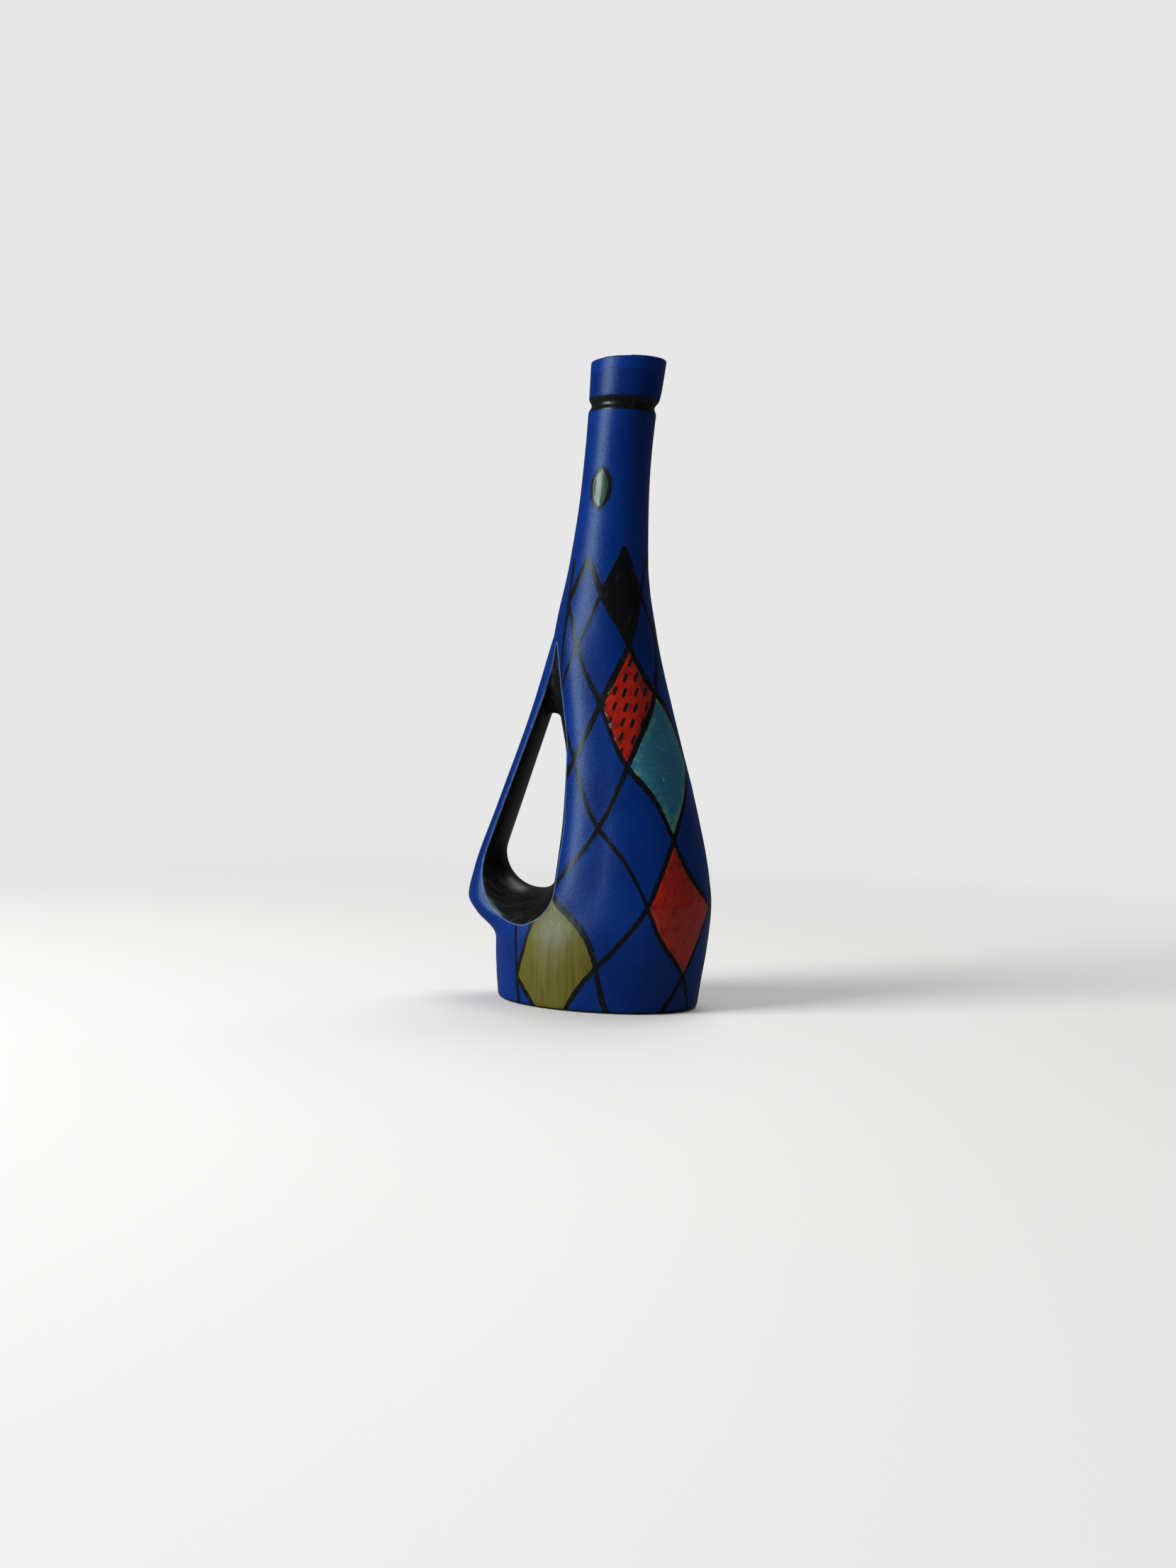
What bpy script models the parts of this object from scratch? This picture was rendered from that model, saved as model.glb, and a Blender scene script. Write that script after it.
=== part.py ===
"""Tall ceramic jug with a pierced strap handle, made of six clay members that are luted together.

The pouring side faces +X, the handle -X, and the jug mirrors across the XZ plane. Every outer
surface comes from one form: horizontal oval sections whose back is pulled out into a blade, from
which a flared grip hole frees the strap. The members are stretches of that form:

foot      base slab with a turned foot rim, and a raised disc that centres the belly
belly     lower wall, up to a rebated seam half way up the grip hole
shoulder  upper wall, up to a rebated seam above the handle's root
neck      slender wall, up to the groove
collar    flared mouth with a lip on the pouring side
handle    solid strap with its heel and its two roots, let into belly and shoulder

Lengths are in metres and Z is up.
"""

import math

import bmesh
import bpy
import numpy as np

# Levels of the main features above the table
FOOT_TOP = 0.008
TUCK_LEVEL = 0.030
HEEL_LEVEL = 0.052
SILL_LEVEL = 0.057
BELLY_LEVEL = 0.100
BELLY_SEAM = 0.114
LINTEL_LEVEL = 0.146
SCOOP_RISE = 0.041
SEAM_RISE = 0.019
NECK_RUN = 0.019
SCOOP_TIP = LINTEL_LEVEL + SCOOP_RISE
SHOULDER_SEAM = SCOOP_TIP + SEAM_RISE
GROOVE_LEVEL = 0.3065
RIM_LEVEL = 0.328

# The form's oval sections: (height, back, front, middle, half depth). The middle is where the
# section is deepest; behind it and in front of it the section is half an ellipse.
SECTIONS = (
    (0.0, -0.0526, 0.0520, 0.0, 0.0400),
    (0.013, -0.0540, 0.0536, 0.0010, 0.0410),
    (TUCK_LEVEL, -0.0550, 0.0560, 0.0050, 0.0416),
    (HEEL_LEVEL, -0.0520, 0.0576, 0.0135, 0.0408),
    (0.070, -0.0445, 0.0554, 0.0150, 0.0389),
    (BELLY_LEVEL, -0.0380, 0.0486, 0.0130, 0.0346),
    (LINTEL_LEVEL + 0.004, -0.0325, 0.0343, 0.0055, 0.0278),
    (SCOOP_TIP + 0.003, -0.0290, 0.0239, -0.0010, 0.0226),
    (SHOULDER_SEAM + NECK_RUN, -0.0224, 0.0184, -0.0015, 0.0186),
    (0.262, -0.0176, 0.0175, 0.0, 0.0171),
    (GROOVE_LEVEL - 0.003, -0.0150, 0.0199, 0.0028, 0.0172),
    (GROOVE_LEVEL + 0.005, -0.0148, 0.0219, 0.0035, 0.0178),
    (RIM_LEVEL, -0.0144, 0.0243, 0.0045, 0.0183),
)

# The blade that the strap is cut from: (height, outer edge, nose length, half depth)
BLADE = (
    (TUCK_LEVEL - 0.008, -0.0500, 0.0100, 0.0),
    (TUCK_LEVEL, -0.0538, 0.0140, 0.0170),
    (TUCK_LEVEL + 0.005, -0.0568, 0.0170, 0.0225),
    (HEEL_LEVEL - 0.009, -0.0662, 0.0200, 0.0225),
    (HEEL_LEVEL, -0.0717, 0.0160, 0.0190),
    (HEEL_LEVEL + 0.012, -0.0694, 0.0110, 0.0160),
    (BELLY_LEVEL, -0.0572, 0.0085, 0.0140),
    (LINTEL_LEVEL + 0.004, -0.0405, 0.0100, 0.0117),
    (SCOOP_TIP, -0.0302, 0.0110, 0.0105),
    (SCOOP_TIP + 0.013, -0.0265, 0.0110, 0.0),
)
BLEND_POWER = 7.0

# Grip hole, seen from the side: corners (x, z) with the radius that rounds each. The throat is in
# the mid-plane, and the face outline lies on the form's two sides.
THROAT = (
    (-0.0283, LINTEL_LEVEL + 0.0145, 0.0050),
    (-0.0614, SILL_LEVEL, 0.0200),
    (-0.0207, SILL_LEVEL, 0.0130),
    (-0.0168, LINTEL_LEVEL - 0.0270, 0.0500),
)
FACE = (
    (-0.0242, SCOOP_TIP + 0.0010, 0.0008),
    (-0.0280, LINTEL_LEVEL + 0.0200, 0.0300),
    (-0.0708, SILL_LEVEL - 0.0170, 0.0260),
    (-0.0300, SILL_LEVEL - 0.0170, 0.0120),
    (-0.0138, SILL_LEVEL - 0.0090, 0.0200),
    (-0.0102, SILL_LEVEL + 0.0350, 0.0800),
    (-0.0122, LINTEL_LEVEL - 0.0110, 0.0500),
)
FLARE_POWER = 2.0
FACE_MARGIN = 0.001
CUTTER_MARGIN = 0.020

# Walls, seams and clearance
WALL = 0.0050
FLOOR_RISE = 0.0040
FLOOR_EASE = 0.0007
FOOT_RIM_WIDTH = 0.0075
FOOT_RECESS = 0.0020
FOOT_ROUNDING = 0.0024
TONGUE_HEIGHT = 0.0040
GAP = 0.0003

# Groove and mouth
GROOVE_DEPTH = 0.0016
GROOVE_HALF_WIDTH = 0.0036
RIM_ROUNDING = 0.0012
LIP_RISE = 0.0010

# Seats of the handle's roots in the wall, seen from the side
ROOT_SEAT_X = -0.0258
ROOT_SEAT_TOP = SCOOP_TIP + 0.010
HEEL_SEAT_X = -0.0450
HEEL_SEAT_BOTTOM = TUCK_LEVEL - 0.002
SEAT_STEP = 0.0030

# Hollow: where its back wall turns inwards round the heel, the gap and the upper root
HEEL_CAVITY_X = -0.0225
HEEL_WALL = 0.0050
GAP_WALL = 0.0050
ROOT_WALL = 0.0050

# Colours: cobalt glaze outside, bare clay underneath
COBALT = (0.020, 0.060, 0.280)
BISCUIT = (0.42, 0.33, 0.24)

# Facets
AROUND = 48
HOLE_POINTS = 40
ARC_POINTS = 13
HOLE_STEPS = 4
RING_SPACING = 0.0075


def smooth_through(height, rows, column):
    """Monotone cubic through one column of a table, at a height."""
    xs = [row[0] for row in rows]
    ys = [row[column] for row in rows]
    widths = [b - a for a, b in zip(xs, xs[1:])]
    slopes = [(b - a) / w for a, b, w in zip(ys, ys[1:], widths)]
    tangents = [slopes[0]]
    for k in range(1, len(slopes)):
        before, after = slopes[k - 1], slopes[k]
        if before * after <= 0:
            tangents.append(0.0)
            continue
        wide, narrow = 2 * widths[k] + widths[k - 1], widths[k] + 2 * widths[k - 1]
        tangents.append((wide + narrow) / (wide / before + narrow / after))
    tangents.append(slopes[-1])
    height = min(max(height, xs[0]), xs[-1])
    k = max(i for i in range(len(widths)) if i == 0 or xs[i] <= height)
    t = (height - xs[k]) / widths[k]
    return (
        (1 + 2 * t) * (1 - t) ** 2 * ys[k]
        + t * (1 - t) ** 2 * widths[k] * tangents[k]
        + t * t * (3 - 2 * t) * ys[k + 1]
        + t * t * (t - 1) * widths[k] * tangents[k + 1]
    )


def oval_at(height):
    """(back, front, middle, half depth) of the plain bottle section."""
    return [smooth_through(height, SECTIONS, column) for column in range(1, 5)]


def half_ellipse(distance, reach):
    return math.sqrt(max(0.0, 1.0 - (distance / reach) ** 2))


def half_depth(x, height, inset=0.0):
    """Half depth of the form at x: the bottle's oval and the blade behind it, blended."""
    back, front, middle, deepest = oval_at(height)
    reach = front - middle if x > middle else middle - back
    oval = (deepest - inset) * half_ellipse(x - middle, reach - inset)
    if not BLADE[0][0] < height < BLADE[-1][0]:
        return oval
    outer, nose, deep = [smooth_through(height, BLADE, column) for column in (1, 2, 3)]
    ridge = outer + nose
    if x < ridge:
        blade = (deep - inset) * half_ellipse(x - ridge, nose - inset)
    else:
        blade = (deep - inset) * half_ellipse(x - ridge, max(middle - ridge, nose))
    return (oval**BLEND_POWER + max(blade, 0.0) ** BLEND_POWER) ** (1 / BLEND_POWER)


def form_ends(height, inset=0.0):
    back, front, _, _ = oval_at(height)
    if BLADE[0][0] < height < BLADE[-1][0]:
        back = min(back, smooth_through(height, BLADE, 1))
    return back + inset, front - inset


def form_ring(height, inset=0.0, lift=0.0):
    """One closed section of the form, pulled in by an inset. The lift tilts it up in front."""
    back, front = form_ends(height, inset)
    centre, reach = (back + front) / 2, (front - back) / 2
    ring = []
    for k in range(AROUND):
        angle = 2 * math.pi * k / AROUND
        x = centre + reach * math.cos(angle)
        depth = half_depth(x, height, inset) if k % (AROUND // 2) else 0.0
        ring.append((x, math.copysign(depth, math.sin(angle)), height + lift * math.cos(angle)))
    return ring


def spaced(lowest, highest, spacing=RING_SPACING):
    """Heights from lowest to highest, both included."""
    steps = max(1, round((highest - lowest) / spacing))
    return [lowest + (highest - lowest) * k / steps for k in range(steps + 1)]


def rounded_outline(corners, count):
    """Closed outline through rounded corners, as points evenly spaced from the first corner on."""
    dense = []
    for k, (x, z, radius) in enumerate(corners):
        here = np.array((x, z))
        to_last = np.array(corners[k - 1][:2]) - here
        to_next = np.array(corners[(k + 1) % len(corners)][:2]) - here
        to_last /= np.linalg.norm(to_last)
        to_next /= np.linalg.norm(to_next)
        half = math.acos(float(np.clip(to_last @ to_next, -1, 1))) / 2
        middle = to_last + to_next
        middle /= np.linalg.norm(middle)
        centre = here + middle * radius / math.sin(half)
        start = here + to_last * radius / math.tan(half) - centre
        turn = math.pi - 2 * half
        side = math.copysign(1.0, to_last[0] * to_next[1] - to_last[1] * to_next[0])
        for step in np.linspace(0, -side * turn, ARC_POINTS):
            c, s = math.cos(step), math.sin(step)
            dense.append(centre + (start[0] * c - start[1] * s, start[0] * s + start[1] * c))
    half_arc = ARC_POINTS // 2
    dense = dense[half_arc:] + dense[:half_arc]
    dense = np.array(dense + dense[:1])
    lengths = np.concatenate([[0], np.cumsum(np.linalg.norm(np.diff(dense, axis=0), axis=1))])
    wanted = np.linspace(0, lengths[-1], count, endpoint=False)
    return [(np.interp(w, lengths, dense[:, 0]), np.interp(w, lengths, dense[:, 1])) for w in wanted]


def box_centre():
    """Middle of the jug's whole length, which the origin stands under."""
    ends = [form_ends(height) for height in spaced(0.0, RIM_LEVEL, 0.0005)]
    return (min(back for back, _ in ends) + max(front for _, front in ends)) / 2


CENTRE = box_centre()


def mesh_object(name, points, faces):
    """New object from points in the form's own frame, moved so that the origin is centred."""
    mesh = bpy.data.meshes.new(name)
    mesh.from_pydata([(x - CENTRE, y, z) for x, y, z in points], [], faces)
    work = bmesh.new()
    work.from_mesh(mesh)
    bmesh.ops.remove_doubles(work, verts=work.verts, dist=1e-6)
    bmesh.ops.recalc_face_normals(work, faces=work.faces)
    if work.calc_volume(signed=True) < 0:
        bmesh.ops.reverse_faces(work, faces=work.faces)
    work.to_mesh(mesh)
    work.free()
    obj = bpy.data.objects.new(name, mesh)
    bpy.context.scene.collection.objects.link(obj)
    return obj


def loft(name, rings, closed=False):
    """Skin over rings of equal count, capped at both ends or closed round into a tube."""
    count = len(rings[0])
    points = [point for ring in rings for point in ring]
    faces = []
    for level in range(len(rings) if closed else len(rings) - 1):
        low, high = level * count, (level + 1) % len(rings) * count
        for k in range(count):
            n = (k + 1) % count
            faces.append((low + k, low + n, high + n, high + k))
    if not closed:
        faces.append(tuple(range(count))[::-1])
        faces.append(tuple(range(len(points) - count, len(points))))
    return mesh_object(name, points, faces)


def side_profile(name, outline, half_width):
    """A solid whose outline in the XZ plane is extruded to both sides."""
    count = len(outline)
    points = [(x, y, z) for y in (-half_width, half_width) for x, z in outline]
    faces = [tuple(range(count)), tuple(range(2 * count - 1, count - 1, -1))]
    for k in range(count):
        n = (k + 1) % count
        faces.append((k, k + count, n + count, n))
    return mesh_object(name, points, faces)


def boolean(obj, other, operation):
    """Replaces the first solid with the result of an exact Boolean."""
    modifier = obj.modifiers.new("cut", "BOOLEAN")
    modifier.operation = operation
    modifier.solver = "EXACT"
    modifier.object = other
    graph = bpy.context.evaluated_depsgraph_get()
    mesh = bpy.data.meshes.new_from_object(obj.evaluated_get(graph))
    obj.modifiers.clear()
    obj.data = mesh
    return obj


def grip_hole():
    """The flared cutter: a small throat in the mid-plane that opens to a wide outline each side."""
    throat = rounded_outline(THROAT, HOLE_POINTS)
    face = rounded_outline(FACE, HOLE_POINTS)
    beyond = max(row[4] for row in SECTIONS) + CUTTER_MARGIN
    rings = [[(x, -beyond, z) for x, z in face]]
    for step in range(-HOLE_STEPS, HOLE_STEPS + 1):
        share = step / HOLE_STEPS
        pull = abs(share) ** FLARE_POWER
        ring = []
        for (tx, tz), (fx, fz) in zip(throat, face):
            y = share * (half_depth(fx, fz) + FACE_MARGIN)
            ring.append((tx + (fx - tx) * pull, y, tz + (fz - tz) * pull))
        rings.append(ring)
    rings.append([(x, beyond, z) for x, z in face])
    return loft("grip_hole_cutter", rings)


def handle_seat(clearance):
    """Everything behind the handle's two luting faces, which step where the roots are let in."""
    far = min(row[1] for row in BLADE) - CUTTER_MARGIN
    top, bottom = ROOT_SEAT_TOP + clearance, HEEL_SEAT_BOTTOM - clearance
    root, heel = ROOT_SEAT_X + clearance, HEEL_SEAT_X + clearance
    outline = [
        (far, bottom),
        (heel - SEAT_STEP, bottom),
        (heel, bottom + SEAT_STEP),
        (heel + 0.006, SILL_LEVEL + 0.006),
        (root, LINTEL_LEVEL - 0.010),
        (root, top - SEAT_STEP),
        (root - SEAT_STEP, top),
        (far, top),
    ]
    beyond = max(row[4] for row in SECTIONS) + CUTTER_MARGIN
    return side_profile("handle_seat_cutter", outline, beyond)


def cavity_back(height):
    """Back of the hollow: one wall behind the oval, and one wall in front of the grip hole."""
    if height > SHOULDER_SEAM:
        return oval_at(height)[0] + WALL
    rows = (
        (FOOT_TOP, oval_at(FOOT_TOP)[0] + WALL),
        (HEEL_SEAT_BOTTOM, HEEL_SEAT_X + HEEL_WALL),
        (HEEL_LEVEL, HEEL_CAVITY_X),
        (SILL_LEVEL + 2 * WALL, THROAT[2][0] + GAP_WALL),
        (BELLY_LEVEL, THROAT[3][0] + GAP_WALL),
        (LINTEL_LEVEL, ROOT_SEAT_X + ROOT_WALL * 2),
        (SCOOP_TIP, ROOT_SEAT_X + ROOT_WALL),
        (SHOULDER_SEAM, oval_at(SHOULDER_SEAM)[0] + WALL),
    )
    return smooth_through(height, rows, 1)


def cavity_ring(height, grow=0.0, lift=0.0):
    """One section of the hollow inside the walls."""
    _, front, _, deepest = oval_at(height)
    back = cavity_back(height) - grow
    front += grow - WALL
    centre, reach = (back + front) / 2, (front - back) / 2
    ring = []
    for k in range(AROUND):
        angle = 2 * math.pi * k / AROUND
        depth = (deepest - WALL + grow) * math.sin(angle)
        ring.append((centre + reach * math.cos(angle), depth, height + lift * math.cos(angle)))
    return ring


def column(name, low, high, grow):
    """A solid stretch of the hollow, grown sideways: a tongue or a socket."""
    levels = spaced(low, high, RING_SPACING)
    return loft(name, [cavity_ring(height, grow) for height in levels])


def wall(name, low, high, is_rebated_below):
    """A stretch of pierced wall. Its upper edge carries an inner tongue for the next one."""
    half = WALL / 2
    shell = loft(name, [form_ring(height) for height in spaced(low + GAP, high)])
    tongue_top = high + TONGUE_HEIGHT - GAP
    boolean(shell, column("tongue_cutter", high - WALL, tongue_top, half - GAP / 2), "UNION")
    levels = [low - WALL] + spaced(low, tongue_top, RING_SPACING) + [tongue_top + WALL]
    hollow = loft("hollow_cutter", [cavity_ring(height) for height in levels])
    boolean(shell, hollow, "DIFFERENCE")
    if is_rebated_below:
        socket = column("socket_cutter", low - WALL, low + TONGUE_HEIGHT, half + GAP / 2)
        boolean(shell, socket, "DIFFERENCE")
    boolean(shell, handle_seat(GAP), "DIFFERENCE")
    return boolean(shell, grip_hole(), "DIFFERENCE")


def foot():
    """Base slab: rounded edge, turned foot rim, and a raised disc that the belly stands round."""
    floor_top = FOOT_TOP + FLOOR_RISE
    rings = [
        form_ring(FOOT_RECESS, FOOT_RIM_WIDTH + FOOT_RECESS / 2),
        form_ring(0.0, FOOT_RIM_WIDTH),
        form_ring(0.0, FOOT_ROUNDING),
        form_ring(FOOT_ROUNDING * 0.3, FOOT_ROUNDING * 0.3),
        form_ring(FOOT_ROUNDING),
        form_ring(FOOT_TOP),
        cavity_ring(FOOT_TOP, -GAP),
        cavity_ring(floor_top, -GAP - FLOOR_EASE),
    ]
    return loft("foot", rings)


def collar_ring(height, inset):
    """A ring of the mouth, tilted more the nearer it is to the rim."""
    share = (height - GROOVE_LEVEL) / (RIM_LEVEL - GROOVE_LEVEL)
    return form_ring(height, inset, LIP_RISE * max(share, 0.0))


def groove_inset(height):
    """How deep the rounded groove lies below the form at a height."""
    away = abs(height - GROOVE_LEVEL) / GROOVE_HALF_WIDTH
    return GROOVE_DEPTH * (0.5 + 0.5 * math.cos(math.pi * min(away, 1.0)))


def neck():
    """Slender wall up to the middle of the groove, where its tongue enters the collar."""
    half = WALL / 2
    plain = spaced(SHOULDER_SEAM + GAP, GROOVE_LEVEL - GROOVE_HALF_WIDTH, 0.0095)
    grooved = spaced(GROOVE_LEVEL - GROOVE_HALF_WIDTH, GROOVE_LEVEL, 0.0012)[1:]
    rings = [form_ring(height) for height in plain]
    rings += [form_ring(height, groove_inset(height)) for height in grooved]
    tongue_top = GROOVE_LEVEL + TONGUE_HEIGHT - GAP
    rings.append(cavity_ring(GROOVE_LEVEL, half / 2))
    rings.append(cavity_ring(tongue_top, half / 2))
    seat = SHOULDER_SEAM + TONGUE_HEIGHT
    rings += [cavity_ring(height) for height in spaced(seat, tongue_top, 0.014)][::-1]
    rings.append(cavity_ring(seat, half + GAP / 2))
    rings.append(cavity_ring(SHOULDER_SEAM + GAP, half + GAP / 2))
    return loft("neck", rings, closed=True)


def collar():
    """Flared mouth: upper half of the groove, tilted lip and rounded rim."""
    socket = WALL / 4 + GAP
    low = GROOVE_LEVEL + GAP
    groove_top = GROOVE_LEVEL + GROOVE_HALF_WIDTH
    rings = [collar_ring(h, groove_inset(h)) for h in spaced(low, groove_top, 0.0012)]
    shoulder_of_rim = RIM_LEVEL - RIM_ROUNDING
    rings += [collar_ring(h, 0.0) for h in spaced(groove_top, shoulder_of_rim, 0.005)[1:]]
    for turn in (30, 60, 90):
        inset = RIM_ROUNDING * (1 - math.cos(math.radians(turn)))
        height = shoulder_of_rim + RIM_ROUNDING * math.sin(math.radians(turn))
        rings.append(collar_ring(height, inset))
    rings.append(cavity_ring(RIM_LEVEL, RIM_ROUNDING, LIP_RISE))
    rings.append(cavity_ring(shoulder_of_rim, 0.0, LIP_RISE))
    socket_top = GROOVE_LEVEL + TONGUE_HEIGHT
    rings += [cavity_ring(height) for height in spaced(socket_top, shoulder_of_rim - 0.004, 0.005)][::-1]
    rings.append(cavity_ring(socket_top, socket))
    rings.append(cavity_ring(low, socket))
    return loft("collar", rings, closed=True)


def handle():
    """Strap, heel and roots: the form behind the luting faces, freed by the grip hole."""
    heights = spaced(HEEL_SEAT_BOTTOM - 0.004, ROOT_SEAT_TOP + 0.004, 0.0055)
    strap = loft("handle", [form_ring(height) for height in heights])
    boolean(strap, grip_hole(), "DIFFERENCE")
    return boolean(strap, handle_seat(0.0), "INTERSECT")


def finish(obj, colour, roughness):
    """Own material and smooth shading, with the arrises kept sharp."""
    material = bpy.data.materials.new(obj.name)
    material.use_nodes = True
    shader = material.node_tree.nodes["Principled BSDF"]
    shader.inputs["Base Color"].default_value = (*colour, 1.0)
    shader.inputs["Roughness"].default_value = roughness
    shader.inputs["Metallic"].default_value = 0.0
    obj.data.materials.clear()
    obj.data.materials.append(material)
    obj.data.shade_smooth()
    obj.data.set_sharp_from_angle(angle=math.radians(28))


def build():
    for obj in list(bpy.data.objects):
        bpy.data.objects.remove(obj, do_unlink=True)
    finish(foot(), BISCUIT, 0.80)
    finish(wall("belly", FOOT_TOP, BELLY_SEAM, False), COBALT, 0.35)
    finish(wall("shoulder", BELLY_SEAM, SHOULDER_SEAM, True), COBALT, 0.35)
    finish(neck(), COBALT, 0.35)
    finish(collar(), COBALT, 0.30)
    finish(handle(), COBALT, 0.40)
    for obj in list(bpy.data.objects):
        if obj.name.endswith("_cutter") or "_cutter." in obj.name:
            bpy.data.objects.remove(obj, do_unlink=True)


build()
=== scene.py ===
"""Looks of a tall painted ceramic jug with a pierced strap handle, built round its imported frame.

One seamless glazed skin stands for the six luted clay members. Its outer form is drawn from the
same sections as they are, finely enough for soft arrises, and every point of it carries the
measures that the painting needs: how far it lies from a painted line, in which field of the
pattern it lies, and how deep it lies inside the grip hole. The glaze material turns those measures
into colour, gloss and relief.

The jug pours towards +X, its handle is at -X, and it mirrors across the XZ plane.
"""

import math

import bmesh
import bpy
import numpy as np
from mathutils import Matrix, Vector


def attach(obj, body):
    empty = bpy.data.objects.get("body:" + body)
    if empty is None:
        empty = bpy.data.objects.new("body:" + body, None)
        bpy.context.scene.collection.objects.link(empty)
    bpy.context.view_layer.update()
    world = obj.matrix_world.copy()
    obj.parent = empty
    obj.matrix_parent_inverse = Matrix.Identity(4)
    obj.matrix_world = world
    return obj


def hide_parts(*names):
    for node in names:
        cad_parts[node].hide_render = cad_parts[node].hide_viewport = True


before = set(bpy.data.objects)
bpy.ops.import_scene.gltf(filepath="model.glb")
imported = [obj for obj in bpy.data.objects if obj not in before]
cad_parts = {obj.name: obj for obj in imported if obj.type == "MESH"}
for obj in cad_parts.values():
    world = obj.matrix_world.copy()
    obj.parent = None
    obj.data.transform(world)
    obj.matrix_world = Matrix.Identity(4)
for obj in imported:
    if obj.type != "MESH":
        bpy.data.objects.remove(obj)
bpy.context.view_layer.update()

MM = 0.001

# ---------------------------------------------------------------- form of the jug, in millimetres
# Oval sections: height, back, front, where it is deepest, half depth
SECTIONS = np.array((
    (0.0, -52.6, 52.0, 0.0, 40.0),
    (13.0, -54.0, 53.6, 1.0, 41.0),
    (30.0, -55.0, 56.0, 5.0, 41.6),
    (52.0, -52.0, 57.6, 13.5, 40.8),
    (70.0, -44.5, 55.4, 15.0, 38.9),
    (100.0, -38.0, 48.6, 13.0, 34.6),
    (150.0, -32.5, 34.3, 5.5, 27.8),
    (190.0, -29.0, 23.9, -1.0, 22.6),
    (225.0, -22.4, 18.4, -1.5, 18.6),
    (262.0, -17.6, 17.5, 0.0, 17.1),
    (303.5, -15.0, 19.9, 2.8, 17.2),
    (311.5, -14.8, 21.9, 3.5, 17.8),
    (328.0, -14.4, 24.3, 4.5, 18.3),
))
# Blade behind the body, which the strap is cut from: height, outer edge, nose length, half depth
BLADE = np.array((
    (22.0, -50.0, 10.0, 0.0),
    (30.0, -53.8, 14.0, 17.0),
    (35.0, -56.8, 17.0, 22.5),
    (43.0, -66.2, 20.0, 22.5),
    (52.0, -71.7, 16.0, 19.0),
    (64.0, -69.4, 11.0, 16.0),
    (100.0, -57.2, 8.5, 14.0),
    (150.0, -40.5, 10.0, 11.7),
    (187.0, -30.2, 11.0, 10.5),
    (200.0, -26.5, 11.0, 0.0),
))
# The higher it is, the sharper the crease between oval and blade
BLEND_POWER = 7.0
# Grip hole seen from the side, corners x, z and radius: in the mid-plane, and on the two faces
THROAT = (
    (-28.3, 160.5, 5.0),
    (-61.4, 57.0, 20.0),
    (-20.7, 57.0, 13.0),
    (-16.8, 119.0, 50.0),
)
FACE = (
    (-24.2, 188.0, 0.8),
    (-28.0, 166.0, 30.0),
    (-70.8, 40.0, 26.0),
    (-30.0, 40.0, 12.0),
    (-13.8, 48.0, 20.0),
    (-10.2, 92.0, 80.0),
    (-12.2, 135.0, 50.0),
)
# The higher it is, the nearer to the faces the hole flares
FLARE_POWER = 2.0

HEIGHT = 328.0
LIP_RISE = 1.0
WALL = 5.0
FLOOR = 12.0
FOOT_RIM_WIDTH = 7.5
FOOT_RIM_SLANT = 1.0
FOOT_RECESS = 2.0
FOOT_ROUNDING = 2.4
# The groove lies at the photograph's level, 1.5 mm below the one in the solids
GROOVE_LEVEL = 305.0
GROOVE_DEPTH = 1.6
GROOVE_HALF_WIDTH = 3.6
MOUTH_DEPTH = 28.0
CUT_PAST_RIM = 4.0
# Middle and half length of the rim, along x
RIM_MIDDLE, RIM_HALF_LENGTH = 4.5, 19.0
# Above this level the hollow's back lies a wall inside the form's own back
HOLLOW_JOINS_BACK = 206.0
# The deep hollow reaches into the mouth by the overlap, and is this much slimmer all round
HOLLOW_OVERLAP, HOLLOW_INSET = 1.0, 0.5

# Soft ridge in the clay along the front of the grip hole: how far from the arris it peaks and runs
# out over the body, and how high it stands
RIDGE_PEAK, RIDGE_END = 8.5, 25.0
RIDGE_HEIGHT = 1.8
# Heights and x of the line between strap and body that it starts from, and over what length
RIDGE_LINE = ((40.0, 100.0, 150.0, 188.0), (-45.0, -32.0, -23.0, -23.0))
RIDGE_ONSET = 5.0
# It rises from its low end over the rise, and has faded before its top
RIDGE_LOW, RIDGE_RISE = 42.0, 28.0
RIDGE_TOP, RIDGE_FADE = 212.0, 45.0
# How far from the arris distances are measured: over the outside and in the hole
ARRIS_REACH, ARRIS_DEPTH = 30.0, 20.0
# A point deeper than this below the outer form is taken to be in the hole
SURFACE_SLACK = 0.3

# Fineness of the skin and of what cuts it
AROUND = 240
RING_STEP = 0.9
FOOT_TURNS = (20, 40, 60, 80)
HOLLOW_AROUND, HOLLOW_RINGS, MOUTH_RINGS = 96, 40, 12
ARRIS_POINTS = 160
VOXEL = 0.72
SMOOTHING, SMOOTHING_ROUNDS = 0.5, 5
# One level a millimetre, at which lengths round the jug are measured
LEVELS = np.arange(0.0, HEIGHT + 1.0, 1.0)

# ---------------------------------------------------------------- painting, in millimetres
FIELDS_AROUND = 7
# Heights of the pattern's rows of crossings, from the foot up
ROW_LEVELS = (-20.0, 18.0, 56.0, 92.0, 126.0, 157.0, 184.0, 208.0, 229.0)
LINE_WIDTH = 2.7
# The back of the body stays plain blue from this column each way, counted from the front
PLAIN_FROM = 5
# Painted fields: (row, column), counted from the foot and from the front, the near side negative
FIELDS = {
    "red": ((2, -1), (5, 2)),
    "red_dashed": ((5, -2), (1, 2)),
    "olive": ((1, -4), (6, 1), (4, 3)),
    "teal": ((4, -1), (3, 2), (2, 5)),
    "ink": ((7, -2), (6, 3)),
}
# Small leaves on the neck: height, share of the way round
LEAVES = ((262.0, -0.27), (262.0, 0.23))
LEAF_HALF_WIDTH, LEAF_HALF_HEIGHT = 5.2, 10.5
# A leaf's outline is finer than the other lines by this much a side
LEAF_LINE_THINNER = 0.2
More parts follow.
